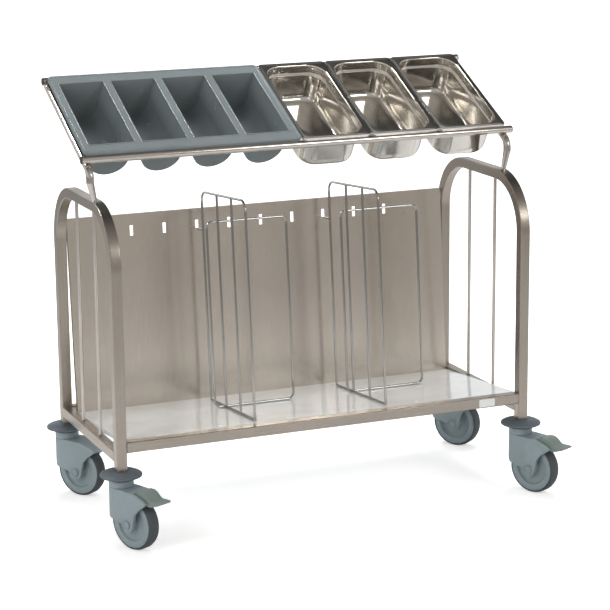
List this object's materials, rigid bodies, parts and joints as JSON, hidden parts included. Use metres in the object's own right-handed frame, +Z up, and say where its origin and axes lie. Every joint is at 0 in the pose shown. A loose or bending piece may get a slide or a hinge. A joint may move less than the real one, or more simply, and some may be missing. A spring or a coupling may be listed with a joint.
{
  "type": "food service trolley",
  "caption": "Tray and cutlery trolley: square tube frame with end arches on swivel casters, leaning tray shelf with wire dividers, sloping rack with cutlery tray and food pans.",
  "frame": {"origin": "on the floor under the middle of the tube frame", "axes": "+X along the trolley towards the food pans, -Y towards the serving side, +Z up"},
  "size_m": [1.1559, 0.6126, 1.0276],
  "materials": {
    "frame_tube": "satin stainless steel tube",
    "panel_sheet": "satin stainless steel sheet",
    "shelf_sheet": "bright polished stainless steel sheet",
    "wire": "polished stainless steel wire",
    "rack_tube": "polished stainless steel round tube",
    "pan_steel": "satin pressed stainless steel",
    "tray_plastic": "grey moulded plastic",
    "plug_plastic": "black moulded plastic",
    "bumper_rubber": "dark slate soft plastic",
    "caster_plastic": "blue-grey moulded nylon",
    "pedal_plastic": "green-grey moulded nylon",
    "tyre_rubber": "dark grey rubber",
    "plated_steel": "zinc plated steel"
  },
  "bodies": {
    "frame": {"back_panel": "panel_sheet", "bumper_front_left": "bumper_rubber", "bumper_front_right": "bumper_rubber", "bumper_rear_left": "bumper_rubber", "bumper_rear_right": "bumper_rubber", "caster_insert_front_left": "plated_steel", "caster_insert_front_right": "plated_steel", "caster_insert_rear_left": "plated_steel", "caster_insert_rear_right": "plated_steel", "end_arch_left": "frame_tube", "end_arch_right": "frame_tube", "front_rail": "frame_tube", "guard_rod_left_1": "rack_tube", "guard_rod_left_2": "rack_tube", "guard_rod_right_1": "rack_tube", "guard_rod_right_2": "rack_tube", "rack_rail_front": "rack_tube", "rack_rail_rear": "rack_tube", "rack_support_left": "rack_tube", "rack_support_right": "rack_tube", "rail_plugs_front": "plug_plastic", "rail_plugs_rear": "plug_plastic", "rear_rail": "frame_tube", "side_rail_left": "frame_tube", "side_rail_right": "frame_tube", "tray_shelf": "shelf_sheet"},
    "swivel_front_left": {"fork_front_left": "caster_plastic", "axle_front_left": "plated_steel"},
    "wheel_front_left": {"wheel_core_front_left": "caster_plastic", "tyre_front_left": "tyre_rubber"},
    "pedal_front_left": {"brake_pedal_front_left": "pedal_plastic"},
    "swivel_front_right": {"fork_front_right": "caster_plastic", "axle_front_right": "plated_steel"},
    "wheel_front_right": {"wheel_core_front_right": "caster_plastic", "tyre_front_right": "tyre_rubber"},
    "pedal_front_right": {"brake_pedal_front_right": "pedal_plastic"},
    "swivel_rear_left": {"fork_rear_left": "caster_plastic", "axle_rear_left": "plated_steel"},
    "wheel_rear_left": {"wheel_core_rear_left": "caster_plastic", "tyre_rear_left": "tyre_rubber"},
    "swivel_rear_right": {"fork_rear_right": "caster_plastic", "axle_rear_right": "plated_steel"},
    "wheel_rear_right": {"wheel_core_rear_right": "caster_plastic", "tyre_rear_right": "tyre_rubber"},
    "cutlery_tray_lift": {"cutlery_tray": "tray_plastic"},
    "food_pan_1_lift": {"food_pan_1": "pan_steel"},
    "food_pan_2_lift": {"food_pan_2": "pan_steel"},
    "food_pan_3_lift": {"food_pan_3": "pan_steel"},
    "divider_left_lift": {"divider_left": "wire", "tray_stop_left": "wire"},
    "divider_right_lift": {"divider_right": "wire", "tray_stop_right": "wire"}
  },
  "joints": [
    {"name": "swivel_turn_front_left", "type": "hinge", "parent": "frame", "child": "swivel_front_left", "pos_m": [-0.5125, -0.215, 0.1565], "axis": [0, 0, 1], "continuous": true},
    {"name": "wheel_roll_front_left", "type": "hinge", "parent": "swivel_front_left", "child": "wheel_front_left", "pos_m": [-0.49321, -0.25455, 0.0625], "axis": [0.8988, 0.4384, 0], "continuous": true},
    {"name": "brake_press_front_left", "type": "hinge", "parent": "swivel_front_left", "child": "pedal_front_left", "pos_m": [-0.47569, -0.29047, 0.12773], "axis": [0.8988, 0.4384, 0], "range_deg": [0, 18]},
    {"name": "swivel_turn_front_right", "type": "hinge", "parent": "frame", "child": "swivel_front_right", "pos_m": [0.5125, -0.215, 0.1565], "axis": [0, 0, 1], "continuous": true},
    {"name": "wheel_roll_front_right", "type": "hinge", "parent": "swivel_front_right", "child": "wheel_front_right", "pos_m": [0.53179, -0.25455, 0.0625], "axis": [0.8988, 0.4384, 0], "continuous": true},
    {"name": "brake_press_front_right", "type": "hinge", "parent": "swivel_front_right", "child": "pedal_front_right", "pos_m": [0.54931, -0.29047, 0.12773], "axis": [0.8988, 0.4384, 0], "range_deg": [0, 18]},
    {"name": "swivel_turn_rear_left", "type": "hinge", "parent": "frame", "child": "swivel_rear_left", "pos_m": [-0.5125, 0.215, 0.1565], "axis": [0, 0, 1], "continuous": true},
    {"name": "wheel_roll_rear_left", "type": "hinge", "parent": "swivel_rear_left", "child": "wheel_rear_left", "pos_m": [-0.48726, 0.17896, 0.0625], "axis": [0.8192, 0.5736, 0], "continuous": true},
    {"name": "swivel_turn_rear_right", "type": "hinge", "parent": "frame", "child": "swivel_rear_right", "pos_m": [0.5125, 0.215, 0.1565], "axis": [0, 0, 1], "continuous": true},
    {"name": "wheel_roll_rear_right", "type": "hinge", "parent": "swivel_rear_right", "child": "wheel_rear_right", "pos_m": [0.53774, 0.17896, 0.0625], "axis": [0.8192, 0.5736, 0], "continuous": true},
    {"name": "cutlery_tray_lift_out", "type": "slide", "parent": "frame", "child": "cutlery_tray_lift", "axis": [0, -0.4384, 0.8988], "range_m": [0, 0.12]},
    {"name": "food_pan_1_lift_out", "type": "slide", "parent": "frame", "child": "food_pan_1_lift", "axis": [0, -0.4384, 0.8988], "range_m": [0, 0.12]},
    {"name": "food_pan_2_lift_out", "type": "slide", "parent": "frame", "child": "food_pan_2_lift", "axis": [0, -0.4384, 0.8988], "range_m": [0, 0.12]},
    {"name": "food_pan_3_lift_out", "type": "slide", "parent": "frame", "child": "food_pan_3_lift", "axis": [0, -0.4384, 0.8988], "range_m": [0, 0.12]},
    {"name": "divider_left_lift_out", "type": "slide", "parent": "frame", "child": "divider_left_lift", "axis": [0, 0.0854, 0.9963], "range_m": [0, 0.018]},
    {"name": "divider_right_lift_out", "type": "slide", "parent": "frame", "child": "divider_right_lift", "axis": [0, 0.0854, 0.9963], "range_m": [0, 0.018]}
  ]
}
